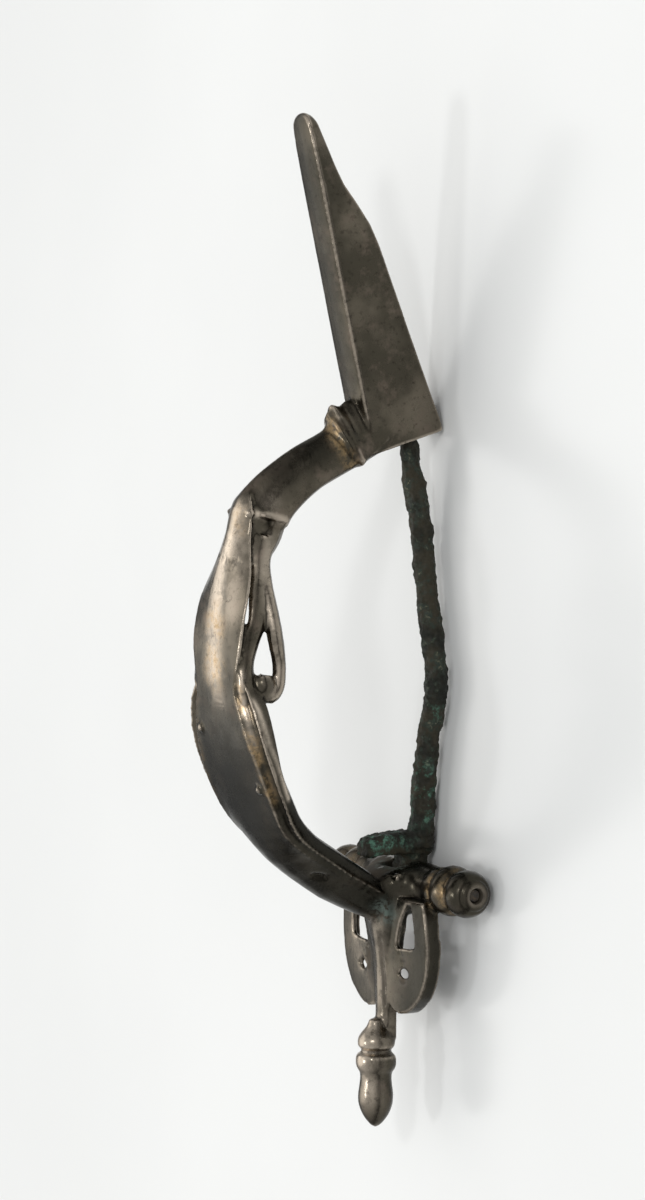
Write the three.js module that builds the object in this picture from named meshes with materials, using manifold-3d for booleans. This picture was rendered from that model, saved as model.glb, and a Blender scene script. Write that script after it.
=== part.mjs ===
// Roman bow brooch with a hinged pin, cast in silver, standing on its back.
// Millimetres, +Z up. X runs from the knob at the head (-) to the tip of the foot (+).
// The casting is symmetric about the XZ plane. Places along X are first counted from the
// heel, the back corner of the foot, and the whole is then centred.

import * as THREE from 'three';
import { mergeVertices } from 'three/addons/utils/BufferGeometryUtils.js';
import Module from 'manifold-3d';

const wasm = await Module();
wasm.setup();

// Foot, a sheath for the pin's point
const footLength = 27.35;
const footWidth = 3.6;
const footHeelWidth = 3.4;
const footHeelHeight = 7.8;
const footTipHeight = 14.3;
const footTipRound = 1.3;
const heelLean = 2.25;
const sheathWall = 0.42;
const sheathHeadroom = 0.5;

// Neck, with a moulding round its root
const neckWidth = 4.1;
const neckThickness = 3.65;
const mouldingLength = 5.9;
const mouldingWidth = 4.9;
const mouldingTilt = 23;
const mouldingShift = new THREE.Vector3(0.3, 0, 0.1);

// Bow
const bowSpan = 45.8;
const bowStart = 2;
const bowRise = 22.05;
const bowHalfWidth = 6.6;
const bowThickness = 4.1;
const frontHalfWidth = 4.45;
const frontEdge = 0.22;
const frontThickness = 1.3;
const scrollReach = 4.05;
const curlRadius = 1.12;
const bossRadius = 0.42;
const beadRadius = 0.5;

// Crossbar and hinge
const hingeBehindBow = 3.8;
const crossbarLength = 23.2;
const ringRadius = 2.3;
const pitRadius = 0.62;
const pitDepth = 0.45;
const axleRadius = 0.5;
const axleClearance = 0.15;
const hingeSlotWidth = 2.9;
const hingeSlotClearance = 0.4;

// Head plate, rod and knob
const headPlateLength = 10.3;
const rodLength = 11.3;
const rodInKnob = 1.6;
const headPlateHalfWidth = 7.15;
const headPlateThickness = 1.5;
const headPlateTop = 5.2;
const headPlateWeb = 0.48;
const headPlatePocket = 0.8;
const headPlateSlope = 0.045;
const lobeFall = 0.07;
const chainHoleRadius = 0.45;
const chainHoleTilt = 42;
const rodHalfWidth = 1.05;
const rodTop = 5.15;
const rodBottom = 3.7;
const knobLength = 9.65;
const knobRadius = 1.87;
const knobAxisHeight = 5.3;
const knobBackHeight = 3.9;

// Pin
const pinRadius = 1.15;
const pinPointRadius = 0.3;
const pinInSheath = 8.5;
const pinSideBend = 3;
const pinLift = 1.35;
const pinHeelHeight = 2.55;
const pinEyeRadius = 1.65;
const pinHeadWidth = 2.3;
const stopTop = 7.1;
const stopLength = 2.15;
const stopWidth = 3.1;
const stopGap = 0.25;
const pinGap = 0.33;

// Detail smaller than this is merged into the faces beside it
const surfaceTolerance = 0.03;

const cosOf = (degrees) => Math.cos(THREE.MathUtils.degToRad(degrees));
const sinOf = (degrees) => Math.sin(THREE.MathUtils.degToRad(degrees));

// A smooth value along keys of [place, value], which doesn't overshoot between them
function along(keys) {
  const last = keys.length - 1;
  const slopes = keys.map(([place, value], i) => {
    if (i === 0 || i === last) return 0;
    const before = (value - keys[i - 1][1]) / (place - keys[i - 1][0]);
    const after = (keys[i + 1][1] - value) / (keys[i + 1][0] - place);
    return before * after <= 0 ? 0 : (2 * before * after) / (before + after);
  });
  return (place) => {
    if (place <= keys[0][0]) return keys[0][1];
    if (place >= keys[last][0]) return keys[last][1];
    const i = keys.findIndex(([next]) => next > place) - 1;
    const gap = keys[i + 1][0] - keys[i][0];
    const t = (place - keys[i][0]) / gap;
    const ease = t * t * (3 - 2 * t);
    const bend = gap * (slopes[i] * t * (1 - t) ** 2 - slopes[i + 1] * t * t * (1 - t));
    return THREE.MathUtils.lerp(keys[i][1], keys[i + 1][1], ease) + bend;
  };
}

const steps = (count, first = 0, last = 1) =>
  Array.from({ length: count + 1 }, (_, i) => THREE.MathUtils.lerp(first, last, i / count));

// A solid for joining and cutting, from a closed three.js geometry
function solidOf(geometry) {
  geometry.deleteAttribute('normal');
  geometry.deleteAttribute('uv');
  const merged = mergeVertices(geometry, 1e-5);
  return new wasm.Manifold(
    new wasm.Mesh({
      numProp: 3,
      vertProperties: new Float32Array(merged.attributes.position.array),
      triVerts: new Uint32Array(merged.index.array),
    }),
  );
}

// A closed skin over a row of rings, all with the same number of points
function loft(rings) {
  const count = rings[0].length;
  const points = rings.flat();
  const faces = [];
  rings.slice(1).forEach((_, r) => {
    for (let i = 0; i < count; i += 1) {
      const a = r * count + i;
      const b = r * count + ((i + 1) % count);
      faces.push([a, b, a + count], [b, b + count, a + count]);
    }
  });
  [0, rings.length - 1].forEach((end) => {
    const middle = new THREE.Vector3();
    rings[end].forEach((point) => middle.addScaledVector(point, 1 / count));
    points.push(middle);
    for (let i = 0; i < count; i += 1) {
      const a = end * count + i;
      const b = end * count + ((i + 1) % count);
      faces.push(end === 0 ? [b, a, points.length - 1] : [a, b, points.length - 1]);
    }
  });
  const build = (triangles) =>
    solidOf(new THREE.BufferGeometry().setFromPoints(points).setIndex(triangles.flat()));
  const solid = build(faces);
  return solid.volume() > 0 ? solid : build(faces.map(([a, b, c]) => [b, a, c]));
}

// The corners of a closed outline, each rounded with three points
function rounded(corners, radius) {
  return corners.flatMap((corner, i) => {
    const before = corners[(i + corners.length - 1) % corners.length];
    const after = corners[(i + 1) % corners.length];
    const cut = (other) =>
      corner.clone().lerp(other, Math.min(radius / corner.distanceTo(other), 0.4));
    const [start, end] = [cut(before), cut(after)];
    return [start, corner.clone().lerp(start.clone().lerp(end, 0.5), 0.5), end];
  });
}

const bothSides = (solid) => solid.add(solid.mirror([0, 1, 0]));

const box = (length, width, height) => solidOf(new THREE.BoxGeometry(length, width, height));

const turned = (profile, sides) =>
  solidOf(new THREE.LatheGeometry(profile.map(([r, y]) => new THREE.Vector2(r, y)), sides));

// Foot: a flat front face, straight sides, and a back edge from the tip down to the heel
const footRise = (footTipHeight - footHeelHeight) / footLength;
const footTop = (x) => footHeelHeight + footRise * x;
const footDepth = along([
  [0, 1],
  [0.128, 0.915],
  [0.447, 0.71],
  [0.63, 0.585],
  [0.714, 0.445],
  [0.791, 0.3],
  [0.868, 0.235],
  [0.965, 0.155],
  [1, 0.14],
]);
const footBack = (x) => footTop(x) - footDepth(x / footLength) * footHeelHeight;
const footTaper = along([[0, 1], [0.88, 1], [1, 0.85]]);
const footBackTaper = along([[0, 1], [0.7, 0.97], [1, 0.75]]);
const footCorner = 0.35;
const footCrown = 0.15;

function footRing(x) {
  const toTip = Math.max(0, (x - (footLength - footTipRound)) / footTipRound);
  const end = Math.sqrt(1 - Math.min(toTip, 0.985) ** 2);
  const lean = heelLean * Math.max(0, 1 - x / (2 * heelLean)) ** 1.5;
  const top = footTop(x - lean);
  const back = x > 0.5 ? footBack(x) : 0;
  const half = (footWidth / 2) * footTaper(x / footLength) * end;
  const backHalf = (footHeelWidth / 2) * footBackTaper(x / footLength) * end;
  const middle = (top + back) / 2;
  const at = (y, z) => {
    const height = middle + (z - middle) * end;
    return new THREE.Vector3(x - (lean * (height - back)) / (top - back), y, height);
  };
  const corners = [
    at(-backHalf, back),
    at(-half, top),
    at(0, top + footCrown),
    at(half, top),
    at(backHalf, back),
  ];
  return rounded(corners, footCorner * end);
}

const footPlaces = [
  ...steps(4, 0, 0.16).map((share) => share * footLength),
  ...steps(11, 0.22, 0.9).map((share) => share * footLength),
  ...steps(7, 0.12, 1).map((t) => footLength - footTipRound * (1 - Math.sin((t * Math.PI) / 2))),
];

// Bow: the line of its front, as shares of the span and of the rise above its two ends
const headEndHeight = headPlateTop;
const bowFront = new THREE.CatmullRomCurve3(
  [
    [-0.02, -0.12],
    [0, 0],
    [0.047, 0.262],
    [0.078, 0.467],
    [0.12, 0.68],
    [0.148, 0.786],
    [0.172, 0.846],
    [0.196, 0.88],
    [0.231, 0.906],
    [0.29, 0.946],
    [0.364, 0.982],
    [0.439, 0.998],
    [0.502, 1],
    [0.559, 0.988],
    [0.622, 0.953],
    [0.7, 0.883],
    [0.753, 0.82],
    [0.799, 0.765],
    [0.838, 0.703],
    [0.873, 0.617],
    [0.904, 0.503],
    [0.937, 0.37],
    [0.965, 0.215],
    [1, 0.02],
    [1.05, -0.01],
    [1.12, -0.02],
  ].map(([run, lift]) => {
    const share = THREE.MathUtils.clamp(run, 0, 1);
    const base = THREE.MathUtils.lerp(footTop(bowStart) - 0.2, headEndHeight, share);
    return new THREE.Vector3(bowStart - run * bowSpan, 0, base + lift * (bowRise - base));
  }),
  false,
  'centripetal',
);

// The front point of the bow at a share of its span, with the way along it and inwards
function bowAt(run) {
  let [low, high] = [0, 1];
  for (let i = 0; i < 30; i += 1) {
    const t = (low + high) / 2;
    if ((bowStart - bowFront.getPointAt(t).x) / bowSpan < run) low = t;
    else high = t;
  }
  const front = bowFront.getPointAt(low);
  const tangent = bowFront.getTangentAt(low);
  const inward = new THREE.Vector3(-tangent.z, 0, tangent.x);
  return { front, inward, point: (y, depth) => front.clone().addScaledVector(inward, depth).setY(y) };
}

// A ring from the half of its outline, [y, depth] from the front middle to the back middle
function bowRing(run, half) {
  const { point } = bowAt(run);
  const side = half.map(([y, depth]) => point(y, depth));
  const other = half.slice(1, -1).reverse().map(([y, depth]) => point(-y, depth));
  return [...side, ...other];
}

// Neck: a bar with a keeled front that carries the bow from the foot up to the knee
const neckEnd = 0.192;
const neckDepth = along([[0, 1.2], [0.06, 1.14], [0.12, 1.27], [0.16, 1.37], [neckEnd, 1.37]]);
function neckRing(run) {
  const half = neckWidth / 2;
  const depth = neckThickness * neckDepth(run);
  return bowRing(run, [
    [0, 0],
    [half * 0.3, depth * 0.05],
    [half * 0.66, depth * 0.22],
    [half * 0.92, depth * 0.46],
    [half, depth * 0.7],
    [half * 0.92, depth * 0.88],
    [half * 0.62, depth * 0.98],
    [0, depth],
  ]);
}

// Moulding: a sharp crest round the root of the neck, hollowed on both sides
function moulding() {
  const { front, inward } = bowAt(0.03);
  const centre = front.clone().addScaledVector(inward, neckThickness * 0.46).add(mouldingShift);
  const across = new THREE.Vector3(cosOf(mouldingTilt), 0, sinOf(mouldingTilt));
  const up = new THREE.Vector3(-sinOf(mouldingTilt), 0, cosOf(mouldingTilt));
  const crest = [
    [-3.4, 0.9, 0.5],
    [-2.4, 0.5, 0.5],
    [-1.7, 0.3, 0.5],
    [-1, 0.28, 0.45],
    [-0.4, 0.12, 0.25],
    [-0.08, 0.02, 0.03],
    [0.1, 0, 0],
    [0.45, 0.5, 0.25],
    [0.9, 1.25, 0.4],
    [1.4, 1.65, 0.5],
    [2, 2, 0.6],
  ];
  const plan = [
    [1, 0],
    [0.93, 0.2],
    [0.6, 0.46],
    [0.1, 0.74],
    [-0.45, 0.95],
    [-0.85, 1],
    [-1, 0.7],
    [-1, 0],
  ];
  const ring = [...plan, ...plan.slice(1, -1).reverse().map(([ahead, aside]) => [ahead, -aside])];
  return loft(
    crest.map(([height, shorter, narrower]) =>
      ring.map(([ahead, aside]) =>
        centre
          .clone()
          .addScaledVector(across, ahead * (mouldingLength / 2 - shorter))
          .addScaledVector(up, height)
          .setY(aside * (mouldingWidth / 2 - narrower)),
      ),
    ),
  );
}

// Front plate: a thin facetted plate over the hollow part of the bow
const frontWidth = along([
  [0.15, 0.1],
  [0.17, 0.34],
  [0.19, 0.44],
  [0.233, 0.48],
  [0.288, 0.7],
  [0.325, 0.85],
  [0.362, 0.95],
  [0.4, 0.965],
  [0.434, 0.97],
  [0.482, 0.88],
  [0.53, 0.72],
]);
const frontCrown = along([
  [0.15, 0.15],
  [0.18, 0.6],
  [0.233, 0.95],
  [0.288, 1],
  [0.325, 0.85],
  [0.362, 0.55],
  [0.4, 0.33],
  [0.45, 0.18],
  [0.53, 0.12],
]);
const frontFacet = along([
  [0.13, 0.2],
  [0.25, 0.22],
  [0.29, 0.25],
  [0.362, 0.38],
  [0.434, 0.42],
  [0.53, 0.45],
]);

function frontRing(run) {
  const half = frontHalfWidth * frontWidth(run);
  const crown = frontCrown(run);
  const facet = half * frontFacet(run);
  return bowRing(run, [
    [0, 0],
    [facet, 0.03],
    [(facet + half) / 2, crown * 0.42],
    [half - 0.12, crown - frontEdge * 0.2],
    [half, crown + frontEdge * 0.25],
    [half - 0.1, crown + frontEdge],
    [half * 0.7, Math.max(crown + frontEdge, frontThickness * 0.85)],
    [0, Math.max(crown + frontEdge, frontThickness)],
  ]);
}

// Lower bow: a broad front with a raised edge, a groove and a second ridge on each side
const lowerStart = 0.488;
const lowerEnd = 1.09;
const lowerFront = along([
  [lowerStart, 0.56],
  [0.53, 0.5],
  [0.56, 0.57],
  [0.62, 0.69],
  [0.7, 0.78],
  [0.75, 0.77],
  [0.805, 0.68],
  [0.84, 0.635],
  [0.882, 0.56],
  [0.917, 0.485],
  [0.954, 0.4],
  [1, 0.26],
  [1.09, 0.12],
]);
const lowerRidge = along([
  [lowerStart, 0.6],
  [0.52, 0.66],
  [0.545, 0.8],
  [0.57, 0.88],
  [0.62, 0.97],
  [0.68, 1],
  [0.74, 0.95],
  [0.79, 0.83],
  [0.83, 0.73],
  [0.87, 0.64],
  [0.917, 0.54],
  [0.954, 0.45],
  [1, 0.32],
  [1.09, 0.17],
]);
const lowerCrown = along([
  [lowerStart, 0.03],
  [0.7, 0.05],
  [0.76, 0.08],
  [0.8, 0.15],
  [0.84, 0.29],
  [0.882, 0.43],
  [0.92, 0.5],
  [0.96, 0.5],
  [1, 0.36],
  [1.05, 0.08],
]);
const lowerRidgeDepth = along([
  [lowerStart, 0.13],
  [0.62, 0.13],
  [0.72, 0.17],
  [0.79, 0.27],
  [0.84, 0.42],
  [0.882, 0.55],
  [0.95, 0.62],
  [1, 0.5],
  [1.05, 0.16],
]);
const lowerGroove = along([
  [lowerStart, 0.05],
  [0.545, 0.13],
  [0.7, 0.13],
  [0.78, 0.07],
  [0.85, 0.02],
  [1, 0.01],
]);
const lowerFlank = along([
  [lowerStart, 0.4],
  [0.56, 0.53],
  [0.62, 0.5],
  [0.7, 0.42],
  [0.75, 0.48],
  [0.79, 0.58],
  [0.83, 0.72],
  [0.88, 0.83],
  [0.93, 0.9],
  [0.965, 0.85],
  [1, 0.45],
  [1.03, 0.25],
  [1.09, 0.15],
]);
const lowerDepth = along([
  [lowerStart, 0.5],
  [0.56, 0.68],
  [0.7, 0.66],
  [0.79, 0.76],
  [0.86, 0.92],
  [0.93, 1],
  [0.965, 0.95],
  [1, 0.55],
  [1.03, 0.33],
  [1.09, 0.22],
]);
const ridgeStand = 0.12;

function lowerRing(run) {
  const front = bowHalfWidth * lowerFront(run);
  const ridge = Math.max(bowHalfWidth * lowerRidge(run), front + 0.25);
  const crown = bowThickness * lowerCrown(run);
  const ridgeDepth = Math.max(bowThickness * lowerRidgeDepth(run), crown + 0.1);
  const groove = ridgeDepth + bowThickness * lowerGroove(run) - 0.05;
  const flank = Math.max(bowThickness * lowerFlank(run), ridgeDepth + 0.4);
  const depth = Math.max(bowThickness * lowerDepth(run), flank + 0.1);
  const gap = ridge - front;
  return bowRing(run, [
    [0, 0],
    [front * 0.3, crown * 0.1],
    [front * 0.58, crown * 0.36],
    [front * 0.84, crown * 0.76],
    [front - 0.16, crown - ridgeStand * 0.7],
    [front, crown - ridgeStand * 0.4],
    [front + gap * 0.2, crown + (groove - crown) * 0.75],
    [front + gap * 0.5, groove],
    [ridge - gap * 0.22, groove - (groove - ridgeDepth) * 0.75],
    [ridge - gap * 0.04, ridgeDepth],
    [ridge, ridgeDepth + 0.18],
    [ridge - 0.12, (ridgeDepth + flank) / 2],
    [ridge - 0.4, flank],
    [ridge * 0.8, (flank + depth) / 2],
    [ridge * 0.5, depth],
    [0, depth],
  ]);
}

// Scrolls: on each side a stem leaves the neck and parts into an inner strand, which joins the lower
// bow, and an outer strand, which ends in a curl. Each row is [x, y, z, height, breadth].
const strandOutline = [
  [0.95, 0.3],
  [0.62, 0.62],
  [0.3, 1],
  [-0.35, 0.95],
  [-0.9, 0.45],
  [-0.9, -0.45],
  [-0.3, -1],
  [0.5, -0.8],
  [0.98, -0.3],
];

function strand(rows) {
  const key = (index) => along(rows.map((row, i) => [i / (rows.length - 1), row[index]]));
  const [height, breadth] = [key(3), key(4)];
  const curve = new THREE.CatmullRomCurve3(rows.map(([x, y, z]) => new THREE.Vector3(x, -y, z)));
  const ring = (t) => {
    const middle = curve.getPoint(t);
    const tangent = curve.getTangent(t);
    const across = new THREE.Vector3(0, -1, 0).addScaledVector(tangent, tangent.y).normalize();
    const up = new THREE.Vector3().crossVectors(across, tangent);
    return strandOutline.map(([high, wide]) =>
      middle
        .clone()
        .addScaledVector(up, (high * height(t)) / 2)
        .addScaledVector(across, (wide * breadth(t)) / 2),
    );
  };
  return loft(steps(rows.length * 2).map(ring));
}

const outerStrand = strand([
  [-6.06, 0.7, 16.3, 1.8, 1.6],
  [-7.77, 0.85, 16.75, 2.3, 2],
  [-9.33, 1.35, 17.4, 2, 1.8],
  [-10.73, 1.9, 18.34, 1.5, 1.6],
  [-11.99, 2.3, 18.55, 1.35, 1.5],
  [-13.54, 2.8, 18.57, 1.35, 1.5],
  [-15.09, 3.2, 18.4, 1.4, 1.5],
  [-16.45, 3.55, 18.25, 1.45, 1.5],
  [-17.98, 3.8, 18.1, 1.5, 1.45],
  [-19.72, 4, 17.88, 1.25, 1.35],
  [-21.05, 4.1, 17.9, 1.2, 1.35],
  [-22.1, 4.1, 18.05, 1.2, 1.35],
  [-22.8, 4.05, 18.6, 1.2, 1.3],
  [-22.6, 3.95, 19.3, 1.2, 1.3],
]);
const innerStrand = strand([
  [-9.2, 1.5, 18.3, 1.6, 1.6],
  [-10.7, 1.9, 18.9, 1.6, 1.6],
  [-11.97, 2.3, 19.1, 1.6, 1.5],
  [-13.52, 2.75, 19.35, 1.7, 1.3],
  [-15.06, 3.1, 19.5, 1.85, 1.1],
  [-16.42, 3.4, 19.75, 1.85, 1],
  [-17.93, 3.55, 20.4, 1.75, 1.1],
  [-19.66, 3.6, 20.85, 1.5, 1.2],
  [-21.27, 3.7, 21.02, 1.8, 1.4],
  [-23.24, 3.7, 20.46, 1.8, 1.4],
  [-24.5, 3.6, 19.9, 1.4, 1.2],
]);

// The curl at the end of the loop, with a hollow in its end
const curlPlace = [-21.7, -4, 19.35];
function curl() {
  const ball = solidOf(new THREE.SphereGeometry(curlRadius, 12, 8)).scale([1.05, 0.9, 0.85]);
  const hollow = solidOf(new THREE.SphereGeometry(curlRadius * 0.62, 10, 6)).scale([1, 0.8, 1]);
  return ball.subtract(hollow.translate([curlRadius * 1.05, 0, 0])).translate(curlPlace);
}

// The wedge that fills the knee, from the neck to where the hollow under the front plate starts
const kneeWidth = along([[0.18, 0.38], [0.24, 0.43], [0.3, 0.56], [0.345, 0.7]]);
const kneeDepth = along([[0.18, 3.8], [0.24, 3.4], [0.3, 2.7], [0.345, 2.1]]);
const kneeRing = (run) => {
  const half = scrollReach * kneeWidth(run);
  const top = frontCrown(run) + frontEdge * 0.5;
  const bottom = kneeDepth(run);
  return bowRing(run, [
    [0, top * 0.5],
    [half, top],
    [half * 1.06, (top + bottom) / 2],
    [half, bottom],
    [0, bottom],
  ]);
};

// Crossbar: rings and a domed end on each arm, turned about the hinge
const hinge = new THREE.Vector3(bowStart - bowSpan + hingeBehindBow, 0, ringRadius);
const crossbarEnd = crossbarLength / 2;
const acrossHinge = (radius, width, sides) =>
  turned([[0, -width / 2], [radius, -width / 2], [radius, width / 2], [0, width / 2]], sides).translate(
    hinge.toArray(),
  );
const armProfile = [
  [pitRadius * 0.6, -pitDepth],
  [pitRadius, -pitDepth * 0.6],
  [pitRadius * 1.1, -0.05],
  [0.95, 0],
  [1.32, -0.18],
  [1.38, -0.36],
  [1.62, -0.42],
  [1.95, -0.8],
  [2.12, -1.3],
  [2.16, -1.65],
  [2.08, -2.1],
  [1.82, -2.5],
  [1.74, -2.7],
  [1.82, -2.95],
  [2.14, -3.3],
  [ringRadius, -3.8],
  [ringRadius, -4.1],
  [2.14, -4.6],
  [1.84, -4.95],
  [1.78, -5.1],
  [1.92, -5.3],
  [1.95, -5.7],
  [1.92, -6.1],
  [1.78, -6.3],
  [1.8, -6.6],
  [1.95, -8.2],
];
const crossbarProfile = [
  [0, crossbarEnd - pitDepth],
  ...armProfile.map(([r, y]) => [r, crossbarEnd + y]),
  ...armProfile.map(([r, y]) => [r, -crossbarEnd - y]).reverse(),
  [0, -crossbarEnd + pitDepth],
].reverse();

// Yoke: the bow's end spreads over the hinge and runs out into the arms
const yokeRows = [
  [-4.7, 1.7, 1.7, 0],
  [-3.7, 1.85, 1.95, -0.05],
  [-2.9, 2, 2.35, -0.2],
  [-2.1, 2.25, 3, -0.5],
  [0, 2.4, 3.4, -0.7],
];
const yokeRing = ([y, long, high, back]) =>
  steps(13, 0, 13 / 14).map((share) => {
    const turn = share * 2 * Math.PI;
    const lift = Math.sin(turn) > 0 ? 2 * high - ringRadius * 0.76 : ringRadius * 0.76;
    return new THREE.Vector3(hinge.x + back + long * Math.cos(turn), y, hinge.z + lift * Math.sin(turn));
  });
const yokeOther = yokeRows.slice(0, -1).reverse().map(([y, ...rest]) => [-y, ...rest]);
const yoke = loft([...yokeRows, ...yokeOther].map(yokeRing));

// Head plate: two dished lobes with a window and a chain hole in each
const plateStart = hinge.x - ringRadius * 0.45;
const plateShape = (run, reach) =>
  new THREE.Vector2(plateStart - run * headPlateLength, -reach * headPlateHalfWidth);
function lobe(scale = 1) {
  const shape = new THREE.Shape();
  const centre = plateShape(0.5, 0.5);
  const at = (run, reach) => plateShape(run, reach).sub(centre).multiplyScalar(scale).add(centre);
  const curve = (...points) => shape.bezierCurveTo(...points.flatMap((point) => point.toArray()));
  shape.moveTo(...at(0, 0.05).toArray());
  shape.lineTo(...at(0, 0.94).toArray());
  curve(at(0.3, 1.03), at(0.6, 1.08), at(0.83, 0.82));
  curve(at(0.95, 0.65), at(1.03, 0.48), at(1, 0.3));
  curve(at(0.99, 0.22), at(0.95, 0.15), at(0.9, 0.12));
  shape.lineTo(...at(0.9, 0.05).toArray());
  return shape;
}

function plateWindow() {
  const shape = new THREE.Shape();
  const at = (run, reach) => plateShape(run, reach).toArray();
  shape.moveTo(...at(0.05, 0.66));
  shape.quadraticCurveTo(...at(0.22, 0.75), ...at(0.415, 0.72));
  shape.lineTo(...at(0.44, 0.34));
  shape.quadraticCurveTo(...at(0.2, 0.4), ...at(0.05, 0.6));
  return shape;
}

const slab = (shape, thickness) =>
  solidOf(new THREE.ExtrudeGeometry(shape, { depth: thickness, bevelEnabled: false, curveSegments: 7 }));

function headPlate() {
  const top = headPlateTop + 0.1;
  const pocket = slab(lobe(headPlatePocket), headPlateThickness).translate([0, 0, -headPlateWeb]);
  const web = slab(plateWindow(), headPlateThickness * 3).translate([0, 0, -headPlateThickness]);
  const hole = solidOf(new THREE.CylinderGeometry(chainHoleRadius, chainHoleRadius, 6, 12))
    .rotate([-chainHoleTilt, 0, 0])
    .translate([...plateShape(0.65, 0.475).toArray(), headPlateThickness - headPlateWeb / 2]);
  const side = slab(lobe(), headPlateThickness)
    .subtract(pocket)
    .subtract(web)
    .subtract(hole)
    .transform([1, 0, headPlateSlope, 0, 0, 1, lobeFall, 0, 0, 0, 1, 0, 0, 0, 0, 1]);
  const bottom = top - headPlateThickness - plateStart * headPlateSlope;
  return bothSides(side.translate([0, 0, bottom]));
}

// Rib down the middle of the head plate, which runs on as the rod
const rodEnd = plateStart - rodLength;
const rodRun = (share) => THREE.MathUtils.lerp(hinge.x - 0.6, rodEnd - rodInKnob, share);
function rodRing(share) {
  const half = rodHalfWidth * along([[0, 2.3], [0.15, 2], [0.4, 1.3], [0.75, 1], [1, 1]])(share);
  const top = rodTop + along([[0, 0.95], [0.24, 0.6], [0.5, 0.1], [1, 0]])(share);
  const bottom = rodBottom - along([[0, 0.4], [0.5, 0.4], [0.85, 0]])(share);
  const outline = [
    [-half, bottom],
    [-half, top - 0.3],
    [0, top + 0.12],
    [half, top - 0.3],
    [half, bottom],
  ];
  return rounded(outline.map(([y, z]) => new THREE.Vector3(rodRun(share), y, z)), 0.3);
}

// Knob: two mouldings and a bud, turned, with a flat back
const knobProfile = [
  [-0.02, 0],
  [-0.02, 0.36],
  [0.05, 0.46],
  [0.1, 0.7],
  [0.15, 0.88],
  [0.19, 0.93],
  [0.235, 0.88],
  [0.26, 0.7],
  [0.285, 0.69],
  [0.31, 0.94],
  [0.345, 1],
  [0.4, 1],
  [0.44, 0.93],
  [0.47, 0.78],
  [0.52, 0.75],
  [0.6, 0.8],
  [0.69, 0.86],
  [0.76, 0.84],
  [0.84, 0.71],
  [0.91, 0.5],
  [0.97, 0.24],
  [1, 0],
].map(([run, radius]) => [radius * knobRadius, run * knobLength]);
const knob = turned(knobProfile, 16)
  .rotate([0, 0, 90])
  .translate([rodEnd, 0, knobAxisHeight])
  .subtract(box(knobLength * 3, 10, 10).translate([rodEnd, 0, knobBackHeight - 5]));

// Pin: a bent shank with an eye, and a stop that stands up behind the bow
const pinReach = pinInSheath - hinge.x;
const pinHeight = along([
  [0.4, pinLift],
  [0.478, pinLift + 0.05],
  [0.586, pinLift + 0.22],
  [0.659, pinLift + 0.45],
  [0.779, pinHeelHeight],
  [1, pinHeelHeight + 1.55],
]);
const pinBend = along([
  [0.05, 0.2],
  [0.146, 0.33],
  [0.258, 0.57],
  [0.369, 1],
  [0.478, 0.63],
  [0.586, 0.33],
  [0.659, 0.2],
  [0.779, 0],
]);
const pinThickness = along([
  [0.05, 1.15],
  [0.1, 1.14],
  [0.2, 1.03],
  [0.72, 0.98],
  [0.79, 0.83],
  [1, pinPointRadius / pinRadius],
]);

function pinRing(share) {
  const radius = pinRadius * pinThickness(share);
  return steps(9, 0, 0.9).map((turn) => {
    const angle = turn * 2 * Math.PI;
    return new THREE.Vector3(
      hinge.x + share * pinReach,
      radius * Math.cos(angle) - pinSideBend * pinBend(share),
      radius * Math.sin(angle) + pinHeight(share),
    );
  });
}

const stopRows = [
  [0.02, 0.9, 0.85],
  [0.08, 1, 0.95],
  [0.45, 1, 1],
  [0.72, 0.95, 0.95],
  [0.93, 0.85, 0.85],
  [1, 0.68, 0.66],
];

function pin() {
  const stopStart = hinge.x + ringRadius + stopGap - 0.2;
  const stop = loft(
    stopRows.map(([share, long, wide]) => {
      const [reach, half] = [stopLength * long, (stopWidth / 2) * wide];
      const corners = [[0, -half], [reach, -half * 0.9], [reach, half * 0.9], [0, half]];
      const places = corners.map(([x, y]) => new THREE.Vector3(stopStart + x, y, share * stopTop));
      return rounded(places, 0.5);
    }),
  );
  const head = box(stopStart - hinge.x + 0.4, pinHeadWidth, 2 * (pinEyeRadius - 0.35)).translate([
    (hinge.x + stopStart + 0.4) / 2,
    0,
    hinge.z - 0.3,
  ]);
  return loft(steps(26, 0.06, 1).map(pinRing))
    .add(stop)
    .add(head)
    .add(acrossHinge(pinEyeRadius, pinHeadWidth, 18))
    .subtract(acrossHinge(axleRadius + axleClearance, pinHeadWidth * 2, 18));
}

// The space that the pin needs in the sheath and in the crossbar
const slotRing = (x) => {
  const share = (x - hinge.x) / pinReach;
  const half = Math.min(pinRadius * pinThickness(share) + pinGap, footHeelWidth / 2 - sheathWall);
  const roof = pinHeight(share) + pinRadius * pinThickness(share) + sheathHeadroom;
  return [[-half, -1], [-half, roof], [half, roof], [half, -1]].map(([y, z]) => new THREE.Vector3(x, y, z));
};
const sheathSlot = loft([-heelLean - 1, 0, 3, pinInSheath * 0.7, pinInSheath + 2.5].map(slotRing));
const slotRadius = pinEyeRadius + hingeSlotClearance;
const hingeSlotAhead = box(slotRadius * 3, hingeSlotWidth, slotRadius * 2).translate([
  hinge.x + slotRadius * 1.5,
  0,
  hinge.z,
]);
const hingeSlotBelow = box(slotRadius * 2, hingeSlotWidth, slotRadius * 2).translate([
  hinge.x,
  0,
  hinge.z - slotRadius,
]);
const hingeSlot = acrossHinge(slotRadius, hingeSlotWidth, 20).add(hingeSlotAhead).add(hingeSlotBelow);
const axleBore = acrossHinge(axleRadius + axleClearance, crossbarLength + 2, 16);

// A bead in each angle between the bow and the arms
const beadPlace = [hinge.x + 0.7, -2.75, hinge.z + 2.6];
const bead = solidOf(new THREE.SphereGeometry(beadRadius, 8, 6)).translate(beadPlace);

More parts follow.
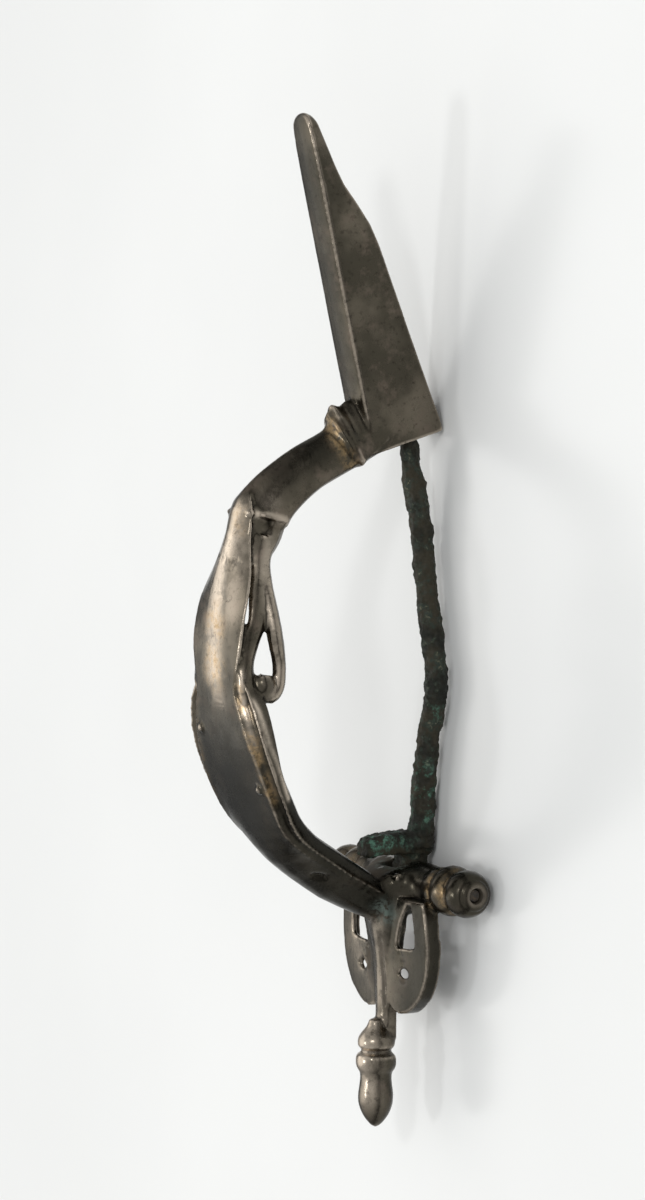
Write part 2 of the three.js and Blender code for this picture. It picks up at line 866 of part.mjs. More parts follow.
// Two small bosses on the front of the lower bow, each at a run, a y and a depth
const farBoss = [0.61, 3.4, 0.1];
const nearBoss = [0.715, -4.2, 0.15];
const boss = ([run, y, depth]) =>
  solidOf(new THREE.SphereGeometry(bossRadius, 8, 6)).translate(bowAt(run).point(y, depth).toArray());

function brooch() {
  const side = outerStrand.add(innerStrand).add(curl());
  const bow = loft(steps(10, 0.02, neckEnd).map(neckRing))
    .add(loft(steps(18, 0.15, 0.53).map(frontRing)))
    .add(loft(steps(24, lowerStart, lowerEnd).map(lowerRing)))
    .add(loft(steps(6, 0.18, 0.345).map(kneeRing)))
    .add(bothSides(side));
  return loft(footPlaces.map(footRing))
    .subtract(sheathSlot)
    .add(bow)
    .add(moulding())
    .add(headPlate())
    .add(loft(steps(12).map(rodRing)))
    .add(knob)
    .add(turned(crossbarProfile, 16).translate(hinge.toArray()))
    .add(yoke)
    .add(bothSides(bead))
    .add(boss(farBoss))
    .add(boss(nearBoss))
    .subtract(hingeSlot)
    .subtract(axleBore)
    .simplify(surfaceTolerance);
}

const axle = acrossHinge(axleRadius, crossbarLength - 2 * pitDepth, 16);

function meshOf(name, solid, color, roughness, metalness) {
  const { vertProperties, triVerts, numProp } = solid.getMesh();
  const geometry = new THREE.BufferGeometry();
  geometry.setAttribute('position', new THREE.BufferAttribute(vertProperties, numProp));
  geometry.setIndex(new THREE.BufferAttribute(triVerts, 1));
  const mesh = new THREE.Mesh(geometry, new THREE.MeshStandardMaterial({ color, roughness, metalness }));
  mesh.name = name;
  return mesh;
}

const group = new THREE.Group();
group.position.x = (knobLength - rodEnd - footLength) / 2;
group.add(meshOf('brooch_body', brooch(), 0x8f8378, 0.35, 0.9));
group.add(meshOf('pin', pin(), 0x33372c, 0.8, 0.2));
group.add(meshOf('hinge_axle', axle, 0x4a4238, 0.7, 0.4));

export default group;
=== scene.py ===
import math

import bmesh
import bpy
import numpy as np
from mathutils import Matrix, Vector, kdtree


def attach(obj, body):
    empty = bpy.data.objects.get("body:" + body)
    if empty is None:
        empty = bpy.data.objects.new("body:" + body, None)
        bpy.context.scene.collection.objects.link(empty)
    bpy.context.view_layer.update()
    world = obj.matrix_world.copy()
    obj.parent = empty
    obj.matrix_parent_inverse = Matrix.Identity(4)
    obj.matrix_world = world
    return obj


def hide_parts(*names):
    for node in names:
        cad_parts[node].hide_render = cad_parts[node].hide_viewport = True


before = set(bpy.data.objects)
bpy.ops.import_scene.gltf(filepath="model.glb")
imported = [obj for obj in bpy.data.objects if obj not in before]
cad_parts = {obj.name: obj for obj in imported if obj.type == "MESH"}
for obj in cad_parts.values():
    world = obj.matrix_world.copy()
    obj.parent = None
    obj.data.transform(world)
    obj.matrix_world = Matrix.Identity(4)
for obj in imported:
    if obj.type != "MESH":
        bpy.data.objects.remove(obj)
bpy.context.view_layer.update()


# The casting: foot, bow, crossbar, head plate, rod and knob, poured in silver in one piece and filed up.
# The solid gets an even skin, its facets are worn round while its arrises stay, and the dents, cracks and
# chips of its age are pressed into it.
SKIN_CELL = 0.00015
SKIN_FACES = 190000
ARRIS_ANGLE = math.radians(34)
ARRIS_REACH = 0.00035
ARRIS_KEPT = 0.16
SKIN_ROUNDS = 30
UNEVEN_SIZE = 0.0035
UNEVEN_DEPTH = 0.00005
JOINED = 2e-6


def copy_of(node, name):
    """The shape of a solid as a new piece, with its loose triangles joined."""
    bpy.ops.object.select_all(action="DESELECT")
    piece = bpy.data.objects.new(name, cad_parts[node].data.copy())
    bpy.context.collection.objects.link(piece)
    piece.data.materials.clear()
    bpy.context.view_layer.objects.active = piece
    piece.select_set(True)
    bpy.ops.object.mode_set(mode="EDIT")
    bpy.ops.mesh.select_all(action="SELECT")
    bpy.ops.mesh.remove_doubles(threshold=JOINED)
    bpy.ops.object.mode_set(mode="OBJECT")
    return piece


def worked(piece, kind, **values):
    """Adds a modifier to a piece and applies it at once."""
    modifier = piece.modifiers.new(kind.title(), kind)
    for setting, value in values.items():
        setattr(modifier, setting, value)
    bpy.context.view_layer.objects.active = piece
    bpy.ops.object.modifier_apply(modifier=modifier.name)


def both_sides(line):
    """A line and its mirror image on the other side of the brooch."""
    return [line, [(x, -y, z) for x, y, z in line]]


def arris_tree(piece, angle, ridges, gap=0.00012):
    """Points along the sharp edges and ridges of a piece, to look up how near one a place is."""
    shape = bmesh.new()
    shape.from_mesh(piece.data)
    found = []
    for edge in shape.edges:
        if len(edge.link_faces) == 2 and edge.calc_face_angle() > angle:
            count = max(1, round(edge.calc_length() / gap))
            ends = [corner.co for corner in edge.verts]
            found += [ends[0].lerp(ends[1], (i + 0.5) / count) for i in range(count)]
    shape.free()
    for ridge in ridges:
        corners = [Vector(point) / 1000 for point in ridge]
        for start, end in zip(corners, corners[1:]):
            count = round((end - start).length / gap)
            found += [start.lerp(end, i / count) for i in range(count)]
    tree = kdtree.KDTree(len(found))
    for i, place in enumerate(found):
        tree.insert(place, i)
    tree.balance()
    return tree


def wear_round(piece, tree, reach, kept, rounds):
    """Smooths a skin, least of all along its arrises."""
    group = piece.vertex_groups.new(name="worn")
    for corner in piece.data.vertices:
        near = tree.find(corner.co)[2] / reach
        group.add([corner.index], max(kept, min(1.0, near * near)), "REPLACE")
    worked(piece, "SMOOTH", factor=0.5, iterations=rounds, vertex_group="worn")
    worked(piece, "SMOOTH", factor=0.5, iterations=2)
    piece.vertex_groups.remove(piece.vertex_groups["worn"])


def roughened(piece, size, depth, middle=0.5, octaves=2):
    """Moves a skin in and out along its normals by a cloudy pattern."""
    cloud = bpy.data.textures.new("unevenness", "CLOUDS")
    cloud.noise_scale = size
    cloud.noise_depth = octaves
    worked(piece, "DISPLACE", texture=cloud, strength=depth, mid_level=middle, texture_coords="LOCAL")


def places_of(piece):
    """The points of a piece and their normals, as arrays in millimetres."""
    count = len(piece.data.vertices)
    places = np.zeros(count * 3)
    normals = np.zeros(count * 3)
    piece.data.vertices.foreach_get("co", places)
    piece.data.vertices.foreach_get("normal", normals)
    return places.reshape(-1, 3) * 1000, normals.reshape(-1, 3)


def hollows_and_rises(piece, rounds=7):
    """The places of an even skin, and by how many hundredths of a mm each stands out of those round it."""
    places, normals = places_of(piece)
    ends = np.zeros(len(piece.data.edges) * 2, int)
    piece.data.edges.foreach_get("vertices", ends)
    first, second = ends.reshape(-1, 2).T
    around = np.bincount(ends, minlength=len(places))[:, None]

    def evened(values):
        total = np.stack([
            np.bincount(first, row[second], len(places)) + np.bincount(second, row[first], len(places))
            for row in values.T
        ], axis=1)
        return (values + total / around) / 2

    mean = places
    for _ in range(rounds):
        mean = evened(mean)
    stand = ((places - mean) * normals).sum(axis=1, keepdims=True) * 100
    for _ in range(2):
        stand = evened(stand)
    return places / 1000, stand[:, 0]


def gap_to(places, line):
    """The distance of each place from a line through the given points."""
    nearest = np.full(len(places), 1e9)
    line = [np.array(point, float) for point in line]
    for start, end in zip(line, line[1:] or line):
        way = end - start
        share = np.clip((places - start) @ way / max(way @ way, 1e-12), 0, 1)
        nearest = np.minimum(nearest, np.linalg.norm(places - start - share[:, None] * way, axis=1))
    return nearest


def pressed(piece, marks):
    """Presses marks into a skin. Each is a line of points, a half width and a depth, all in millimetres."""
    places, normals = places_of(piece)
    moved = places.copy()
    for line, half, depth in marks:
        share = np.exp(-((gap_to(places, line) / half) ** 2))
        moved -= normals * (share * depth)[:, None]
    piece.data.vertices.foreach_set("co", (moved / 1000).ravel())
    piece.data.update()


def stained(piece, name, patches):
    """Gives each point of a skin a share. A patch is a line of points, a radius and its greatest share."""
    places, _ = places_of(piece)
    share = np.zeros(len(places))
    for line, radius, most in patches:
        share = np.maximum(share, most * np.exp(-((gap_to(places, line) / radius) ** 2)))
    layer = piece.data.attributes.new(name, "FLOAT", "POINT")
    layer.data.foreach_set("value", share)


casting = copy_of("brooch_body", "silver_casting")
PLATE_RIDGE = [
    (9.5, -0.4, 20.2), (8.65, -0.5, 20.5), (6.13, -0.8, 21.2), (2.74, -1.6, 21.8), (-0.56, -1.8, 22),
    (-2.76, -1.7, 22), (-4.6, -1.5, 22),
]
arrises = arris_tree(casting, ARRIS_ANGLE, both_sides(PLATE_RIDGE))
worked(casting, "REMESH", mode="VOXEL", voxel_size=SKIN_CELL)
wear_round(casting, arrises, ARRIS_REACH, ARRIS_KEPT, SKIN_ROUNDS)
skin_places, skin_bend = hollows_and_rises(casting)
skin_size = len(casting.data.polygons) * 2
worked(casting, "DECIMATE", ratio=SKIN_FACES / skin_size)
bend_tree = kdtree.KDTree(len(skin_places))
for i, place in enumerate(skin_places):
    bend_tree.insert(place, i)
bend_tree.balance()
bend_layer = casting.data.attributes.new("bend", "FLOAT", "POINT")
nearest = [bend_tree.find(corner.co)[1] for corner in casting.data.vertices]
bend_layer.data.foreach_set("value", skin_bend[nearest])


def ring_line(y, radius, middle=(-22.68, 2.3)):
    """A circle round the crossbar's axis."""
    turns = [math.radians(15 * i) for i in range(25)]
    return [(middle[0] + radius * math.cos(turn), y, middle[1] + radius * math.sin(turn)) for turn in turns]


KNEE_BROW = [
    (10.2, -1.7, 19.7), (10.1, -1.7, 18.9), (10, -1.8, 18.2), (9.9, -1.9, 17.6), (9.7, -2, 16.8),
    (9.5, -1.9, 16.1),
]
KNEE_HOLLOW = [(9.7, -1.6, 19.2), (9.5, -1.7, 18.6), (9.3, -1.7, 17.9), (9.2, -1.9, 17.3), (9.1, -2, 16.7)]
MOULDING_CREST = [(18.7, 0, 11), (17.7, -1.1, 10.6), (16, -1.9, 9.8), (14.4, -2, 8.7)]
MOULDING_BAND = [(18.3, 0, 11.6), (17.2, -1.1, 11.2), (15.6, -1.7, 10.4), (14.2, -2, 9.6)]
MOULDING_HOLLOW = [(19.4, 0, 9.9), (19.2, -0.7, 9.6), (18.2, -1.3, 9.2), (16.9, -1.9, 8.7)]
BOW_RIDGES = [
    [(-3, -4.4, 21.6), (-5, -4, 21.6), (-9, -4.6, 20.7), (-14, -4.8, 18.6)],
    [(-5.5, -5.4, 21), (-9, -6.2, 20.2), (-14, -6.1, 17.9)],
]
PLATE_CRACKS = [
    ([(6.4, 1.7, 20.8), (6.3, -0.1, 21.2), (6.2, -1.2, 21), (6.1, -2.1, 20.7)], 0.13, 0.14),
    ([(3, -0.4, 21.7), (2.8, -1.3, 21.7), (2.7, -1.9, 21.7)], 0.13, 0.12),
    ([(-3.7, -0.4, 22), (-3.9, -1.4, 22), (-3.7, -2.5, 22)], 0.16, 0.09),
]
BOW_CHIP = ([(-21.4, -2.2, 13.1), (-21.5, -2.5, 12.4)], 0.3, 0.25)
RIB_CREASE = ([(-27.6, -0.7, 5.4), (-29.5, -0.6, 5.2), (-31.3, -0.8, 5), (-33.4, -0.8, 5)], 0.14, 0.16)
NEAR_LOBE_CRACK = ([(-28.3, -3, 4.9), (-28.9, -3.3, 4.8), (-29.5, -3.5, 4.8)], 0.12, 0.16)
FAR_LOBE_PITS = [
    ([(-28.6, 2.3, 4.9), (-29, 2.1, 4.9), (-30.4, 2.2, 4.8)], 0.16, 0.2),
    ([(-30.1, 2.4, 4.8)], 0.35, 0.25),
]
NECK_DENT = ([(15.1, -0.7, 14.8), (15.6, -0.7, 14.1)], 0.2, 0.08)
DOME_GROOVES = ((10.55, 1.8), (11.2, 1.42))
marks = [*PLATE_CRACKS, BOW_CHIP, RIB_CREASE, NEAR_LOBE_CRACK, *FAR_LOBE_PITS, NECK_DENT]
CAST_LINES = [
    (KNEE_BROW, 0.24, -0.24),
    (KNEE_HOLLOW, 0.45, 0.18),
    *[(line, 0.2, -0.07) for line in BOW_RIDGES],
    (MOULDING_CREST, 0.16, -0.16),
    (MOULDING_BAND, 0.42, 0.14),
    (MOULDING_HOLLOW, 0.42, 0.14),
    *[(ring_line(y, radius), 0.11, 0.1) for y, radius in DOME_GROOVES],
]
marks += [(side, half, depth) for line, half, depth in CAST_LINES for side in both_sides(line)]
pressed(casting, marks)
roughened(casting, UNEVEN_SIZE, UNEVEN_DEPTH)
for face in casting.data.polygons:
    face.use_smooth = True

LOWER_GROOVE = [
    (-4.8, -4, 21.7), (-7.3, -4.3, 21.2), (-9.8, -4.9, 20.7), (-12, -5.2, 20.1), (-14.2, -5.2, 19.1),
]
STEM = [
    (8, -2.1, 17.9), (5.3, -3, 18.9), (2.2, -3.9, 18.7), (-0.7, -4.5, 18.4), (-3.7, -4.7, 18.2),
    (-5.4, -4.6, 18.6),
]
# Bare silver rubbed through the tarnish, partly painted highlight: the lit patch low on the neck and the
# light band along the plate's near ridge are painted in.
stained(casting, "wear_and_highlight", [
    ([(10.3, -0.7, 20.3), (8, -0.7, 20.7)], 1, 0.9),
    ([(8, -0.5, 20.7), (6, 0.2, 21.2), (1, 0.2, 21.9), (-3.4, 0.1, 22.1)], 1.2, 1),
    # Painted highlight: a light band along the plate's near ridge.
    ([(7, -1.5, 20.7), (2, -2.2, 21.4)], 1.3, 0.4),
    ([(-3.4, -0.2, 22.1), (-6, -0.6, 22)], 1, 0.45),
    ([(-36, 0, 5.9), (-36.8, 0, 6.4), (-38.5, 0, 7)], 1.6, 0.65),
    ([(-40.5, -0.8, 6.6), (-41.8, -0.6, 6.2)], 0.9, 0.5),
    ([(-26, -0.6, 6), (-33, 0, 5.3)], 1, 0.3),
    ([(-31.5, 3.4, 4.8), (-28, 4.6, 4.6)], 1, 0.2),
    # Painted highlight: the lit patch low on the neck.
    ([(11.3, -1.7, 17.6)], 0.9, 0.4),
    *[(line, 0.6, 0.45) for line in both_sides(STEM)],
    *[(line, 0.3, 1) for line in both_sides(KNEE_BROW)],
    *[(side, 0.28, 0.9) for line in BOW_RIDGES for side in both_sides(line)],
])
stained(casting, "gilt", [
    ([(1, 0.2, 22), (-3.5, 0, 22)], 1.3, 1),
    ([(10.2, -0.8, 20.2), (9, -1, 20.4)], 0.7, 0.8),
    *[(line, 0.6, 0.9) for line in both_sides(MOULDING_BAND)],
    *[(line, 0.5, 0.8) for line in both_sides(LOWER_GROOVE)],
    *[(ring_line(y, 2), 0.5, 0.6) for y in (-6.6, -8.7, 6.6, 8.7)],
])
# Tarnish, and painted shade in places: the darkened front of the foot and the darkened underside of the
# knob stand in for shade.
stained(casting, "tarnish_and_shade", [
    ([(-10, -1, 20.5), (-15, 0, 18.5), (-21, 0, 13), (-24.5, 0, 7)], 6.5, 1),
    ([(-6.5, -1, 22), (-11, -1, 20)], 2.4, 0.85),
    # Painted shade: the foot's front darkened.
    ([(20, 0, 8.8), (33, 0, 11.7), (44, 0, 14.2)], 2, 0.75),
    ([(-14, -6, 17), (-16, -5.5, 15.5), (-21, -3.5, 11)], 3.6, 1),
    ([(-20, 0, 4.5), (-21.5, 1.5, 4.5), (-22.5, 0, 6)], 2.6, 1),
    ([(14, -1.5, 15.5), (18, -1.5, 11.5)], 2.4, 0.6),
    ([(-22, -3, 3), (-25, 0, 5)], 2.5, 1),
    ([(-22.7, -4, 2.3), (-22.7, -11.6, 2.3)], 3.2, 0.85),
    ([(15.5, -1, 13), (13.5, -1, 15.5)], 2, 0.75),
    ([(-24, -6, 4.6), (-30, -6, 4.6), (-33, -4, 4.6)], 3.2, 1),
    # Painted shade: the knob's underside darkened.
    ([(-41.8, 0, 3.5), (-44, 0, 4)], 2.4, 1),
    ([(-26, 0, 5.5), (-34, 0, 5)], 1.8, 0.75),
    ([(-25, -7.3, 3.6), (-29, -7.5, 3.6), (-32, -6, 3.6), (-34, -4, 3.6)], 1.9, 1),
    ([(-25, 7.3, 3.6), (-29, 7.5, 3.6), (-32, 6, 3.6)], 1.6, 0.7),
])
stained(casting, "grime", [
    *[(line, 0.7, 1) for line in both_sides([(-22.68, -11.4, 2.3)])],
    ([(-27.6, -0.7, 5.4), (-33.4, -0.8, 5)], 0.25, 0.8),
    ([(-28.6, 2.3, 4.9), (-30.4, 2.2, 4.8)], 0.45, 1),
    ([(-30.9, -3.4, 4.8)], 0.5, 1),
    ([(-24, 2.5, 4.5), (-24, -2.5, 4.5)], 0.8, 0.8),
    ([(-21.6, 2.5, 4.6), (-21.2, 2, 3.4), (-21.2, 0, 4.2), (-21.8, 0, 5.8)], 1.4, 1),
])
stained(casting, "verdigris", [
    ([(-24.6, -1.8, 6), (-25.3, -1.9, 5.6)], 0.8, 0.9),
    ([(-20.9, -1.6, 4.2), (-20.9, 1.6, 4.2)], 0.8, 1),
])


def shader(name):
    """A new material and its node tree, with the Principled shader that it ends in."""
    material = bpy.data.materials.new(name)
    material.use_nodes = True
    tree = material.node_tree
    return material, tree, tree.nodes["Principled BSDF"]


def put(tree, kind, **inputs):
    """A shader node. Each input is a value or the socket that feeds it."""
    node = tree.nodes.new(kind)
    for name, value in inputs.items():
        socket = node.inputs[name.replace("_", " ")]
        if isinstance(value, bpy.types.NodeSocket):
            tree.links.new(value, socket)
        else:
            socket.default_value = value
    return node


def noise(tree, place, size, detail=3.0, roughness=0.5):
    """A cloudy pattern whose lumps have about the given size in metres."""
    return put(
        tree, "ShaderNodeTexNoise", Vector=place, Scale=1 / size, Detail=detail, Roughness=roughness
    ).outputs["Fac"]


def between(tree, value, low, high, to_low=0.0, to_high=1.0):
    """The value's place between low and high, eased at both ends."""
    node = put(
        tree, "ShaderNodeMapRange", Value=value, From_Min=low, From_Max=high, To_Min=to_low, To_Max=to_high
    )
    node.interpolation_type = "SMOOTHSTEP"
    return node.outputs["Result"]


def product(tree, *values):
    """The values multiplied."""
    result = values[0]
    for value in values[1:]:
        node = tree.nodes.new("ShaderNodeMath")
        node.operation = "MULTIPLY"
        for socket, entry in zip(node.inputs, (result, value)):
            if isinstance(entry, bpy.types.NodeSocket):
                tree.links.new(entry, socket)
            else:
                socket.default_value = entry
        result = node.outputs[0]
    return result


def mark_of(tree, name):
    """The number that a skin keeps at each point under a name."""
    node = tree.nodes.new("ShaderNodeAttribute")
    node.attribute_name = name
    return node.outputs["Fac"]


def over(tree, share, under, top):
    """One colour laid over another by a share."""
    node = tree.nodes.new("ShaderNodeMix")
    node.data_type = "RGBA"
    tree.links.new(share, node.inputs[0])
    for socket, entry in ((node.inputs[6], under), (node.inputs[7], top)):
        if isinstance(entry, bpy.types.NodeSocket):
            tree.links.new(entry, socket)
        else:
            socket.default_value = (*entry, 1)
    return node.outputs[2]


SILVER_DARK = (0.068, 0.06, 0.045)
SILVER_MIDDLE = (0.155, 0.133, 0.102)
SILVER_PINK = (0.19, 0.15, 0.12)
SILVER_WORN_AND_LIT = (0.64, 0.55, 0.45)
SILVER_TARNISH_AND_SHADE = (0.024, 0.023, 0.018)
SILVER_CREVICE = (0.014, 0.012, 0.009)
GILDING = (0.5, 0.34, 0.17)
GRIME = (0.06, 0.044, 0.026)
VERDIGRIS = (0.1, 0.135, 0.115)
SILVER_CLOUDS = 0.006
SILVER_MOTTLE = 0.0018
SILVER_SPECKS = 0.0006
SILVER_GRAIN = 0.00035
SCRATCH_LENGTH = 0.0025
SCRATCH_DRAWN = (1, 6, 9)
RISE_WORN_AND_LIT = (1.5, 4.4)
HOLLOW_DARK = (-0.8, -3.5)
SILVER_ROUGH = (0.18, 0.35)
DIRT_ROUGH = 0.8
PINK_COVER = 0.6
TARNISH_AND_SHADE_COVER = 0.93
WORN_AND_LIT_COVER = 0.62
GILT_COVER = 0.9
HOLLOW_COVER = 0.85
SPECK_COVER = 0.5

toned_silver, tree, shade = shader("toned_silver")
place = tree.nodes.new("ShaderNodeTexCoord").outputs["Object"]
broad = noise(tree, place, SILVER_CLOUDS, 3)
cloudy = noise(tree, place, SILVER_MOTTLE, 5, 0.6)
specks = noise(tree, place, SILVER_SPECKS, 3, 0.7)
fine = noise(tree, place, SILVER_GRAIN, 4, 0.6)
drawn = put(tree, "ShaderNodeMapping", Vector=place, Scale=SCRATCH_DRAWN).outputs[0]
scratches = noise(tree, drawn, SCRATCH_LENGTH, 4, 0.6)
bend = mark_of(tree, "bend")
colour = over(tree, between(tree, broad, 0.42, 0.66), SILVER_DARK, SILVER_MIDDLE)
colour = over(tree, product(tree, between(tree, cloudy, 0.5, 0.72), PINK_COVER), colour, SILVER_PINK)
# Tarnish and painted shade laid over the silver.
colour = over(tree, product(tree, mark_of(tree, "tarnish_and_shade"), TARNISH_AND_SHADE_COVER), colour, SILVER_TARNISH_AND_SHADE)
# Rubbed bare silver, with painted highlights in places, laid over in the worn colour.
wear_and_highlight = product(tree, mark_of(tree, "wear_and_highlight"), between(tree, cloudy, 0.3, 0.55, 0.45, 1))
colour = over(tree, wear_and_highlight, colour, SILVER_WORN_AND_LIT)
kept_dull = between(tree, mark_of(tree, "tarnish_and_shade"), 0, 1, 1, 0.55)
patchy = between(tree, cloudy, 0.25, 0.5, 0.4, 1)
# Rises are lightened: edge wear, partly painted highlight along the ridges and edges.
worn = product(tree, between(tree, bend, *RISE_WORN_AND_LIT), patchy, kept_dull, WORN_AND_LIT_COVER)
colour = over(tree, worn, colour, SILVER_WORN_AND_LIT)
flaked = product(tree, between(tree, cloudy, 0.36, 0.62), between(tree, specks, 0.3, 0.6))
gilded = product(tree, mark_of(tree, "gilt"), flaked, GILT_COVER)
colour = over(tree, gilded, colour, GILDING)
# Hollows are darkened: painted shade, with the tarnish that gathers in them.
colour = over(tree, product(tree, between(tree, bend, *HOLLOW_DARK), HOLLOW_COVER), colour, SILVER_CREVICE)
colour = over(tree, product(tree, between(tree, specks, 0.52, 0.74), SPECK_COVER), colour, SILVER_CREVICE)
grimy = product(tree, mark_of(tree, "grime"), between(tree, cloudy, 0.3, 0.5))
colour = over(tree, grimy, colour, GRIME)
green = product(tree, mark_of(tree, "verdigris"), between(tree, specks, 0.35, 0.6))
colour = over(tree, green, colour, VERDIGRIS)
tree.links.new(colour, shade.inputs["Base Color"])
bare = product(tree, between(tree, grimy, 0, 0.6, 1, 0.1), between(tree, green, 0, 0.6, 1, 0.1))
tree.links.new(bare, shade.inputs["Metallic"])
duller = tree.nodes.new("ShaderNodeMath")
duller.operation = "MAXIMUM"
tree.links.new(between(tree, cloudy, 0.3, 0.7, *SILVER_ROUGH), duller.inputs[0])
tree.links.new(between(tree, bare, 0.1, 1, DIRT_ROUGH, 0), duller.inputs[1])
tree.links.new(duller.outputs[0], shade.inputs["Roughness"])
bump = put(tree, "ShaderNodeBump", Height=fine, Strength=0.22, Distance=0.00004)
bump = put(tree, "ShaderNodeBump", Height=scratches, Strength=0.2, Distance=0.00005, Normal=bump.outputs[0])
tree.links.new(bump.outputs[0], shade.inputs["Normal"])

casting.data.materials.append(toned_silver)
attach(casting, "casting")
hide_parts("brooch_body")


# The pin: a copper-alloy wire with a square stop behind the hinge, eaten away all over, that turns on the
# axle. Its skin is the solid's, swollen and pitted by corrosion, with bright green malachite in places.
PIN_CELL = 0.00013
PIN_ROUNDS = 6
SWELLING_SIZE = 0.0017
SWELLING_DEPTH = 0.0005
SWELLING_MIDDLE = 0.68
PIT_SIZE = 0.00055
PIT_DEPTH = 0.0003
PIT_MIDDLE = 0.6
RUST_DARK = (0.011, 0.012, 0.008)
RUST_BROWN = (0.038, 0.033, 0.02)
RUST_PALE = (0.17, 0.16, 0.11)
RUST_GREEN = (0.026, 0.037, 0.027)
MALACHITE = (0.1, 0.22, 0.16)
RUST_CLOUDS = 0.004
RUST_MOTTLE = 0.0011
RUST_GRAIN = 0.00035
RUST_ROUGH = (0.5, 0.85)
RUST_GLOSS = 0.3
STOP_LUMPS = [
    ([(-20, -1.3, 7)], 0.5, -0.3),
    ([(-19.2, -1.4, 7)], 0.4, 0.3),
    ([(-18.6, -1.2, 7.1)], 0.4, -0.15),
    ([(-20.3, 0.9, 6.8)], 0.5, -0.2),
    ([(-18.4, -1.3, 3.2)], 0.6, 0.2),
    ([(-17.6, -1.9, 2.6)], 0.5, -0.15),
]

needle = copy_of("pin", "corroded_pin")
worked(needle, "REMESH", mode="VOXEL", voxel_size=PIN_CELL)
worked(needle, "SMOOTH", factor=0.5, iterations=PIN_ROUNDS)
pressed(needle, STOP_LUMPS)
roughened(needle, SWELLING_SIZE, SWELLING_DEPTH, SWELLING_MIDDLE)
roughened(needle, PIT_SIZE, PIT_DEPTH, PIT_MIDDLE)
for face in needle.data.polygons:
    face.use_smooth = True
stained(needle, "malachite", [
    ([(-19.6, -0.7, 7.1), (-18.8, -1.2, 5.9), (-18.4, -1.2, 4.4)], 1.5, 1),
    ([(-16.4, -2, 1.8), (-13.5, -2.3, 1.9)], 1.3, 1),
    ([(-7.5, -3.5, 1.6)], 0.6, 0.9),
])

corroded, tree, shade = shader("corroded_copper_alloy")
place = tree.nodes.new("ShaderNodeTexCoord").outputs["Object"]
broad = noise(tree, place, RUST_CLOUDS, 4, 0.6)
cloudy = noise(tree, place, RUST_MOTTLE, 5, 0.65)
fine = noise(tree, place, RUST_GRAIN, 4, 0.65)
colour = over(tree, between(tree, broad, 0.4, 0.6), RUST_DARK, RUST_BROWN)
colour = over(tree, between(tree, cloudy, 0.48, 0.62), colour, RUST_GREEN)
crust = product(tree, between(tree, cloudy, 0.55, 0.7), between(tree, fine, 0.45, 0.6))
colour = over(tree, crust, colour, RUST_PALE)
grown = product(tree, between(tree, cloudy, 0.45, 0.6), between(tree, fine, 0.4, 0.6))
colour = over(tree, product(tree, mark_of(tree, "malachite"), grown), colour, MALACHITE)
tree.links.new(colour, shade.inputs["Base Color"])
tree.links.new(between(tree, fine, 0.3, 0.7, *RUST_ROUGH), shade.inputs["Roughness"])
bump = put(tree, "ShaderNodeBump", Height=fine, Strength=0.7, Distance=0.0001)
tree.links.new(bump.outputs[0], shade.inputs["Normal"])
shade.inputs["Specular IOR Level"].default_value = RUST_GLOSS
needle.data.materials.append(corroded)
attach(needle, "pin")
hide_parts("pin")


# The axle: a plain copper-alloy wire, pushed through the crossbar and the pin's eye. Only its two ends
# show, dull brown in the pits of the crossbar's domes.
AXLE_BROWN = (0.09, 0.065, 0.04)
AXLE_DARK = (0.03, 0.024, 0.018)
AXLE_MOTTLE = 0.0005
AXLE_ROUGH = (0.5, 0.8)
dull_axle, tree, shade = shader("dull_axle")
place = tree.nodes.new("ShaderNodeTexCoord").outputs["Object"]
cloudy = noise(tree, place, AXLE_MOTTLE, 4, 0.6)
colour = over(tree, between(tree, cloudy, 0.4, 0.6), AXLE_DARK, AXLE_BROWN)
tree.links.new(colour, shade.inputs["Base Color"])
tree.links.new(between(tree, cloudy, 0.3, 0.7, *AXLE_ROUGH), shade.inputs["Roughness"])
bump = put(tree, "ShaderNodeBump", Height=cloudy, Strength=0.5, Distance=0.00008)
tree.links.new(bump.outputs[0], shade.inputs["Normal"])
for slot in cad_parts["hinge_axle"].material_slots:
    slot.material = dull_axle


# The setting: a pale, slightly glossy board that the brooch rests on. A large soft light stands behind
# it and two small ones give the glints. The room is pale above and dim at the sides.
BOARD_SIZE = 1.6
BOARD_PALE = (0.79, 0.8, 0.795)
BOARD_PALER = (0.82, 0.83, 0.825)
BOARD_MOTTLE = 0.05
BOARD_ROUGH = 0.22
bpy.ops.object.select_all(action="DESELECT")
bpy.ops.mesh.primitive_plane_add(size=BOARD_SIZE, location=(0, 0, 0))
board = bpy.context.active_object
board.name = "board"
pale_board, tree, shade = shader("pale_board")
place = tree.nodes.new("ShaderNodeTexCoord").outputs["Object"]
mottle = noise(tree, place, BOARD_MOTTLE, 3)
colour = over(tree, between(tree, mottle, 0.3, 0.7), BOARD_PALE, BOARD_PALER)
tree.links.new(colour, shade.inputs["Base Color"])
shade.inputs["Roughness"].default_value = BOARD_ROUGH
board.data.materials.append(pale_board)


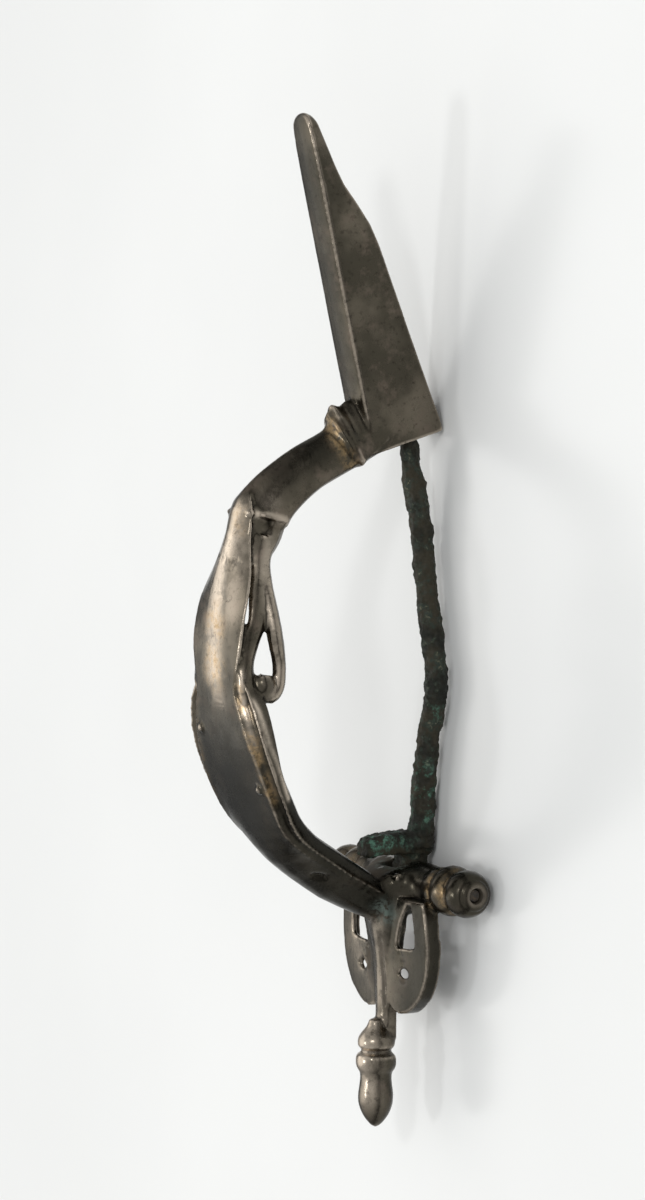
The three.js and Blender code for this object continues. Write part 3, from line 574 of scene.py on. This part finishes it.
def lamp(name, place, aim, width, height, power, colour=(1, 1, 1)):
    """A rectangular soft light at a place, turned towards its aim."""
    light = bpy.data.lights.new(name, "AREA")
    light.shape = "RECTANGLE"
    light.size = width
    light.size_y = height
    light.energy = power
    light.color = colour
    holder = bpy.data.objects.new(name, light)
    bpy.context.collection.objects.link(holder)
    holder.location = place
    holder.rotation_euler = (Vector(aim) - Vector(place)).to_track_quat("-Z", "Y").to_euler()


lamp("behind", (0.08, 0.85, 0.85), (0, 0, 0), 1.2, 0.9, 3.3, (1, 0.97, 0.92))
lamp("near", (0.2, -0.33, 0.5), (0, 0, 0), 0.09, 0.09, 0.5)
lamp("above", (-0.06, 0.16, 0.7), (-0.03, 0, 0), 0.08, 0.08, 0.55)
ROOM_LOW = (0.12, 0.12, 0.12)
ROOM_HIGH = (0.81, 0.815, 0.815)
room = bpy.data.worlds.new("room")
room.use_nodes = True
tree = room.node_tree
way = put(tree, "ShaderNodeSeparateXYZ", Vector=tree.nodes.new("ShaderNodeTexCoord").outputs["Generated"])
height = between(tree, way.outputs["Z"], 0.02, 0.55)
tree.links.new(over(tree, height, ROOM_LOW, ROOM_HIGH), tree.nodes["Background"].inputs["Color"])
bpy.context.scene.world = room
bpy.context.scene.view_settings.view_transform = "Standard"


# The view: from the near side and above, turned so that the foot points up.
# Its lens is long, so the near and far arms of the crossbar look almost the same size.
AIM = Vector((0.00246, 0, 0.01131))
AZIMUTH = math.radians(4.09)
ELEVATION = math.radians(30.13)
ROLL = math.radians(-91.43)
DISTANCE = 0.3383
LENS = 116.31
away = Vector((
    math.sin(AZIMUTH) * math.cos(ELEVATION),
    -math.cos(AZIMUTH) * math.cos(ELEVATION),
    math.sin(ELEVATION),
))
level = (-away).cross(Vector((0, 0, 1))).normalized()
upright = level.cross(-away)
right = math.cos(ROLL) * level + math.sin(ROLL) * upright
up = -math.sin(ROLL) * level + math.cos(ROLL) * upright
view = bpy.data.cameras.new("view")
view.sensor_fit = "VERTICAL"
view.sensor_height = 36
view.sensor_width = 36
view.lens = LENS
view.clip_start = 0.01
camera = bpy.data.objects.new("view", view)
bpy.context.collection.objects.link(camera)
turn = Matrix((right, up, away)).transposed().to_4x4()
camera.matrix_world = Matrix.Translation(AIM + away * DISTANCE) @ turn
bpy.context.scene.camera = camera
